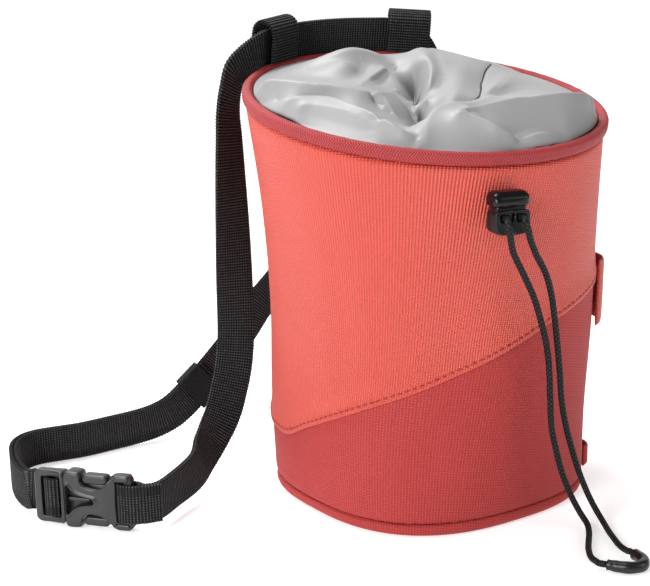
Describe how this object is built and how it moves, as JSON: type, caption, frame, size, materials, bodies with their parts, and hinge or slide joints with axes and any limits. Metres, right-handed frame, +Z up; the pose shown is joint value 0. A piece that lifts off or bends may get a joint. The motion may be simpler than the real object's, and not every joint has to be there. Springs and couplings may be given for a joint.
{
  "type": "climbing chalk bag",
  "caption": "Standing cloth chalk bag with a flared bound rim, a gathered drawcord collar, a looped webbing waist belt with a side-release buckle, and a cord lock on the front.",
  "frame": {"origin": "middle of the base's underside, on the floor", "axes": "+Z up, the front with the cord lock faces -Y, the belt loops are at +Y"},
  "size_m": [0.2287, 0.2223, 0.1864],
  "materials": {
    "coral_cloth": "fine matt ribbed weave",
    "brick_cloth": "coarse matt plain weave",
    "binding_tape": "matt herringbone tape",
    "grey_nylon": "smooth, faint sheen",
    "black_webbing": "ribbed, matt",
    "keeper_elastic": "ribbed, matt",
    "buckle_plastic": "satin moulded",
    "lock_plastic": "satin moulded",
    "lock_gloss": "polished",
    "black_cord": "braided, matt",
    "sleeve_tube": "smooth shrink tube"
  },
  "bodies": {
    "bag": {"bag_upper_panel": "coral_cloth", "bag_lower_panel": "brick_cloth", "bag_base": "brick_cloth", "rim_binding": "binding_tape", "collar": "grey_nylon", "belt_loop_left": "black_webbing", "belt_loop_right": "black_webbing", "belt_webbing": "black_webbing", "belt_keeper": "keeper_elastic", "buckle_female": "buckle_plastic", "buckle_male": "buckle_plastic", "cord_lock_body": "lock_plastic", "cord_left": "black_cord", "cord_right": "black_cord", "cord_sleeve": "sleeve_tube", "brush_sleeve_upper": "coral_cloth", "brush_sleeve_lower": "brick_cloth"},
    "lock_button": {"cord_lock_button": "lock_gloss"}
  },
  "joints": [
    {"name": "button_press", "type": "slide", "parent": "bag", "child": "lock_button", "axis": [0, 0, -1], "range_m": [0, 0.0012], "stiffness_N_per_m": 60}
  ]
}
